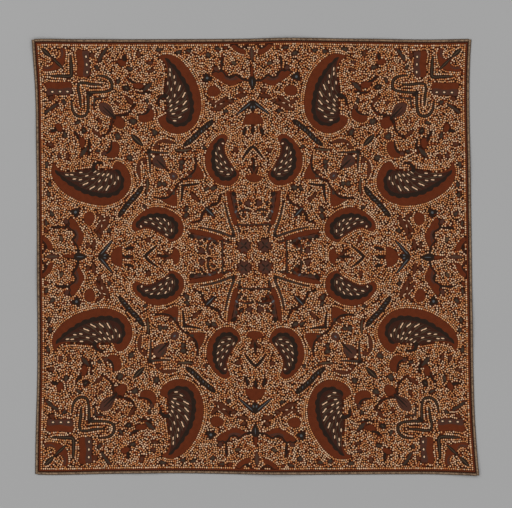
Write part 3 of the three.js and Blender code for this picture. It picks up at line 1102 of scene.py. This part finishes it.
def inward_share(chart, start, fade):
    """0 near the cloth's edge and 1 further in. It starts and fades over these numbers of squares."""
    return np.clip((CHART - start - np.abs(chart).max(1)) / fade, 0, 1)


def wrinkles(chart, height):
    """How far the cloth rises in slight wrinkles at places on the chart."""
    rise = np.array([0.6 * noise.noise((u / 24, v / 24, 1.3)) + 0.4 * noise.noise((u / 9, v / 11, 8.1))
                     for u, v in chart])
    return height * inward_share(chart, 1, 8) * np.clip(0.5 + rise, 0, 1)


def cloth_piece(sizes, colours, lay):
    """The dyed sheet: a patterned face up, the same pattern through to its underside, and its rim."""
    chart, triangles, dye_rows, dotted, dot_of = pattern_mesh(sizes, colours, lay)
    strayed = wander(chart, sizes.wander / SQUARE)
    rise = wrinkles(chart, sizes.wrinkle)
    under = lay.place(*strayed.T, rise)
    over = under + np.array((0, 0, lay.thickness))
    count = len(chart)
    rim = boundary(triangles)
    faces = [tuple(t) for t in triangles]
    faces += [(c + count, b + count, a + count) for a, b, c in triangles]
    faces += [(b, a, a + count, b + count) for a, b in rim]
    piece = new_piece("dyed_cloth", np.vstack([over, under]).tolist(), faces, dyed_cotton(sizes, colours))
    mesh = piece.data
    blank = [(0, 0, NO_DOT)] * len(rim)
    store(mesh, "chart", "FLOAT_VECTOR", "POINT", np.pad(np.vstack([chart, chart]), ((0, 0), (0, 1))))
    border = [(*colours.border, 1)] * len(rim)
    store(mesh, "dye", "FLOAT_COLOR", "FACE", np.vstack([dye_rows, dye_rows, border]))
    store(mesh, "dotted", "FLOAT", "FACE", np.concatenate([dotted, dotted, np.zeros(len(rim))]))
    for corner, name in enumerate(("dot_a", "dot_b", "dot_c")):
        dots = dot_of[triangles[:, corner]]
        store(mesh, name, "FLOAT_VECTOR", "FACE", np.vstack([dots, dots, blank]))
    sharp = {frozenset(edge) for edge in rim} | {frozenset((a + count, b + count)) for a, b in rim}
    keys = [frozenset(edge.vertices) in sharp for edge in mesh.edges]
    mesh.attributes.new("sharp_edge", "BOOLEAN", "EDGE").data.foreach_set("value", keys)
    bake_map(mesh, np.vstack([chart, chart]) / (2 * CHART) + 0.5)
    return piece


def boundary(triangles):
    """The edges that only one triangle has, each in that triangle's order."""
    edges = {}
    for a, b, c in triangles.tolist():
        for edge in ((a, b), (b, c), (c, a)):
            edges[edge] = True
    return [(a, b) for a, b in edges if (b, a) not in edges]


def bake_map(mesh, places):
    """A map with the pattern laid flat, for a bake. Both faces share it, as they are dyed alike."""
    corners = np.empty(len(mesh.loops), int)
    mesh.loops.foreach_get("vertex_index", corners)
    layer = mesh.uv_layers.new(name="OFBake")
    layer.uv.foreach_set("vector", places[corners].astype(np.float32).ravel())


def hem_reach(side, sizes, lay):
    """How far a hem runs each way from its middle, in chart squares. The cross hems end at the others."""
    axis = SIDES[side][0]
    return CHART - (sizes.end_step / SQUARE if axis == 0 else lay.inset)


def stitch_count(side, sizes, lay):
    return max(2, round(2 * hem_reach(side, sizes, lay) * SQUARE / sizes.stitch_pitch))


def on_side(side, out, along):
    """The chart place that is so far out on a side and so far along it."""
    axis, way = SIDES[side]
    return (way * out, along) if axis == 0 else (along, way * out)


def tube_faces(start, rings, around):
    """The faces of a closed tube whose rings of points begin at this number."""
    faces = []
    for ring in range(rings - 1):
        for k in range(around):
            a, b = start + ring * around + k, start + ring * around + (k + 1) % around
            faces.append((a, b, b + around, a + around))
    faces.append(tuple(start + k for k in range(around))[::-1])
    faces.append(tuple(start + (rings - 1) * around + k for k in range(around)))
    return faces


def squarish(value):
    """A sine or cosine pushed towards 1 or -1, which makes a circle a rounded square."""
    return math.copysign(abs(value) ** 0.62, value)


HEM_AROUND = 14  # points round a hem
HEM_STEPS = 4  # rings of points for each stitch, with the pinch on one of them
HEM_GAP = 0.00005  # metres, between a hem and the sheet
HEM_WANDER = 0.1  # squares, how far a hem's outer edge strays
HEM_SWELL = 0.07  # of a hem's height
HEM_PINCH = 0.16  # of a hem's height


def hem_piece(side, sizes, lay, material):
    """One rolled hem: a flattened roll along the edge, pinched a little at each stitch."""
    axis, way = SIDES[side]
    reach = hem_reach(side, sizes, lay)
    steps = HEM_STEPS * stitch_count(side, sizes, lay)
    width = lay.inset - HEM_GAP / SQUARE
    tall = 2 * lay.thickness
    points, charts, roll = [], [], []
    for step in range(steps + 1):
        share = step / steps
        along = reach * (2 * share - 1)
        pinch = HEM_PINCH if step % HEM_STEPS == HEM_STEPS // 2 else 0
        swell = noise.noise((along * 0.6, 5 * axis, way * 2))
        for angle in np.arange(HEM_AROUND) * math.tau / HEM_AROUND:
            inward = 0.5 * (1 - squarish(math.cos(angle)))
            up = 0.5 * (1 + squarish(math.sin(angle)))
            lift = tall * up * (1 + HEM_SWELL * swell - pinch * inward)
            out = CHART - inward * width - HEM_WANDER * (0.5 + 0.5 * swell) * (1 - inward)
            u, v = on_side(side, out, along)
            points.append(lay.place(np.float64(u), np.float64(v), lift))
            charts.append((u, v, up))
            roll.append((share, inward, up))
    faces = tube_faces(0, steps + 1, HEM_AROUND)
    if (way > 0) == (axis == 0):
        faces = [face[::-1] for face in faces]
    piece = new_piece("rolled_hem_" + side, [tuple(p) for p in points], faces, material)
    store(piece.data, "chart", "FLOAT_VECTOR", "POINT", charts)
    store(piece.data, "roll", "FLOAT_VECTOR", "POINT", roll)
    return piece


# A stitch's path from the sheet over the hem: how far out in its lengths, and how high in thicknesses
STITCH_PATH = ((-0.35, 0.9), (-0.30, 1.15), (0.05, 1.25), (0.16, 1.6), (0.34, 1.78), (0.6, 1.62))
STITCH_LEAN = 0.16  # squares along the hem for each length out
THREAD_AROUND = 6  # points round a thread


def stitch_points(side, sizes, lay):
    """Where each stitch of one hem is, as its path of chart places and heights."""
    reach, count = hem_reach(side, sizes, lay), stitch_count(side, sizes, lay)
    for number in range(count):
        along = reach * ((2 * number + 1) / count - 1)
        lean = STITCH_LEAN + 0.05 * noise.noise((along, *SIDES[side]))
        path = []
        for across, height in STITCH_PATH:
            out = CHART - lay.inset + across * sizes.stitch_length / SQUARE
            path.append((*on_side(side, out, along + lean * across), height * lay.thickness))
        yield path


def stitches_piece(sizes, colours, lay):
    """All the hem stitches in one mesh: short slanting threads from the cloth over the roll."""
    points, charts, faces = [], [], []
    radius = sizes.stitch_thread / 2
    for side in SIDES:
        for path in stitch_points(side, sizes, lay):
            line = [Vector(lay.place(np.float64(u), np.float64(v), height)) for u, v, height in path]
            tube = tube_faces(len(points), len(line), THREAD_AROUND)
            faces += [face[::-1] for face in tube]
            for number, here in enumerate(line):
                before, after = line[max(0, number - 1)], line[min(len(line) - 1, number + 1)]
                way = (after - before).normalized()
                sideways = way.cross(Vector((0, 0, 1))).normalized()
                upward = sideways.cross(way)
                for k in range(THREAD_AROUND):
                    angle = k * math.tau / THREAD_AROUND
                    points.append(here + radius * (math.cos(angle) * sideways + math.sin(angle) * upward))
                    charts.append((*path[number][:2], k / THREAD_AROUND))
    piece = new_piece("hem_stitches", points, faces, sewing_thread(colours))
    store(piece.data, "chart", "FLOAT_VECTOR", "POINT", charts)
    return piece


# Operators


class HEADCLOTH_OT_cloth(bpy.types.Operator):
    """Makes the dyed sheet from the chart and lays it where its solid lies"""

    bl_idname = "headcloth.cloth"
    bl_label = "Make Dyed Cloth"

    def execute(self, context):
        sizes, colours = context.scene.headcloth_sizes, context.scene.headcloth_colours
        piece = cloth_piece(sizes, colours, Lay())
        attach(piece, "root")
        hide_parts("cloth")
        return {"FINISHED"}


class HEADCLOTH_OT_hems(bpy.types.Operator):
    """Makes the four rolled hems and the stitches that hold them"""

    bl_idname = "headcloth.hems"
    bl_label = "Make Hems and Stitches"

    def execute(self, context):
        if "dyed_cloth" not in bpy.data.objects:
            raise RuntimeError("The cloth has to be made before its hems")
        sizes, colours = context.scene.headcloth_sizes, context.scene.headcloth_colours
        lay = Lay()
        material = hem_cotton(sizes, colours)
        pieces = []
        for side in SIDES:
            hem = hem_piece(side, sizes, lay, material)
            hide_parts("hem_" + side)
            pieces.append(hem)
        stitches = stitches_piece(sizes, colours, lay)
        pieces.append(stitches)
        for piece in pieces:
            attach(piece, "root")
        return {"FINISHED"}


class HEADCLOTH_OT_stage(bpy.types.Operator):
    """Lays a pale floor under the cloth, lights it softly and looks straight down on it"""

    bl_idname = "headcloth.stage"
    bl_label = "Make Stage"

    def execute(self, context):
        sizes, colours = context.scene.headcloth_sizes, context.scene.headcloth_colours
        make_floor(colours)
        make_lights()
        make_camera(sizes)
        return {"FINISHED"}


def make_floor(colours):
    """A large pale floor with a faint unevenness."""
    half = 25.0
    shader = Shader("pale_floor")
    place = shader.node("ShaderNodeTexCoord", output="Object")
    tint = shader.brighten(colours.floor, 0.985 + 0.03 * shader.noise(place, 3.0, 3.0))
    grain = shader.noise(place, 900.0, 2.0)
    material = shader.finish(tint, 0.9 + 0.05 * grain, grain * 0.00002, 0.3)
    shader.surface.inputs["Sheen Weight"].default_value = 0
    corners = [(-half, -half, 0), (half, -half, 0), (half, half, 0), (-half, half, 0)]
    new_piece("floor", corners, [(0, 1, 2, 3)], material)


def make_lights():
    """Four broad soft lights round the cloth, the upper left one a little stronger, and a pale room."""
    world = bpy.data.worlds.new("pale_room")
    bpy.context.scene.world = world
    world.use_nodes = True
    world.node_tree.nodes["Background"].inputs["Color"].default_value = (0.8, 0.8, 0.8, 1)
    world.node_tree.nodes["Background"].inputs["Strength"].default_value = 0.48
    for name, x, y, power in (("upper_left", -1.9, 1.9, 20), ("upper_right", 1.9, 1.9, 15),
                              ("lower_left", -1.9, -1.9, 14.5), ("lower_right", 1.9, -1.9, 14)):
        data = bpy.data.lights.new(name, "AREA")
        data.shape = "DISK"
        data.size = 1.6
        data.energy = power
        light = bpy.data.objects.new(name, data)
        light.location = (x, y, 2.0)
        light.rotation_euler = (Vector((0, 0, 0)) - light.location).to_track_quat("-Z", "Y").to_euler()
        bpy.context.scene.collection.objects.link(light)


def make_camera(sizes):
    """A camera straight above the cloth, framed as the photograph is."""
    data = bpy.data.cameras.new("camera")
    data.lens = sizes.lens
    data.sensor_width = 36
    camera = bpy.data.objects.new("camera", data)
    off_x, off_y = 0.0039, 0.0063
    camera.location = (off_x, off_y, sizes.view_width * sizes.lens / data.sensor_width)
    bpy.context.scene.collection.objects.link(camera)
    bpy.context.scene.camera = camera
    bpy.context.scene.view_settings.view_transform = "Standard"
    bpy.context.scene.view_settings.look = "None"


class HEADCLOTH_PT_panel(bpy.types.Panel):
    """Lists the headcloth's sizes, colours and steps"""

    bl_label = "Batik Headcloth"
    bl_idname = "HEADCLOTH_PT_panel"
    bl_space_type = "VIEW_3D"
    bl_region_type = "UI"
    bl_category = "Headcloth"

    def draw(self, context):
        for step in STEPS:
            self.layout.operator(step.bl_idname)
        for group in (context.scene.headcloth_sizes, context.scene.headcloth_colours):
            box = self.layout.box()
            for name in group.__annotations__:
                box.prop(group, name)


STEPS = (HEADCLOTH_OT_cloth, HEADCLOTH_OT_hems, HEADCLOTH_OT_stage)
CLASSES = (HeadclothSizes, HeadclothColours, *STEPS, HEADCLOTH_PT_panel)


def register():
    for each in CLASSES:
        bpy.utils.register_class(each)
    bpy.types.Scene.headcloth_sizes = PointerProperty(type=HeadclothSizes)
    bpy.types.Scene.headcloth_colours = PointerProperty(type=HeadclothColours)


def unregister():
    del bpy.types.Scene.headcloth_colours
    del bpy.types.Scene.headcloth_sizes
    for each in reversed(CLASSES):
        bpy.utils.unregister_class(each)


def main():
    register()
    bpy.ops.headcloth.cloth()
    bpy.ops.headcloth.hems()
    bpy.ops.headcloth.stage()


if __name__ == "__main__":
    main()
